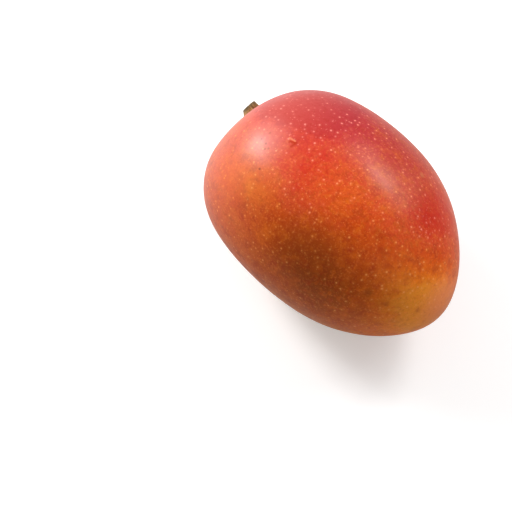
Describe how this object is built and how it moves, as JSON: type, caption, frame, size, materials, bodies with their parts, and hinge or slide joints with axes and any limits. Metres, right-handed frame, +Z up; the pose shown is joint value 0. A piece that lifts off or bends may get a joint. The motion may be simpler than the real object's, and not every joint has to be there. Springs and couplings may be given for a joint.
{
  "type": "kent mango",
  "caption": "Whole ripe mango lying on one cheek: an egg-shaped, slightly flattened fruit, fuller at its stem end, with the cut stub of its woody stalk.",
  "frame": {"origin": "on the ground, at the centre of the base of the bounding box", "axes": "+X along the fruit from its stem end to its apex, +Y to its rounder back, +Z up through the upper cheek"},
  "size_m": [0.1294, 0.0918, 0.0866],
  "materials": {
    "skin": "smooth waxy mango skin, crimson blush over orange and ochre ground with pale dots, satin gloss",
    "stalk": "dry olive-brown stalk, ridged bark and a paler cut end, matt"
  },
  "bodies": {
    "root": {"fruit": "skin", "stem": "stalk"}
  },
  "joints": []
}
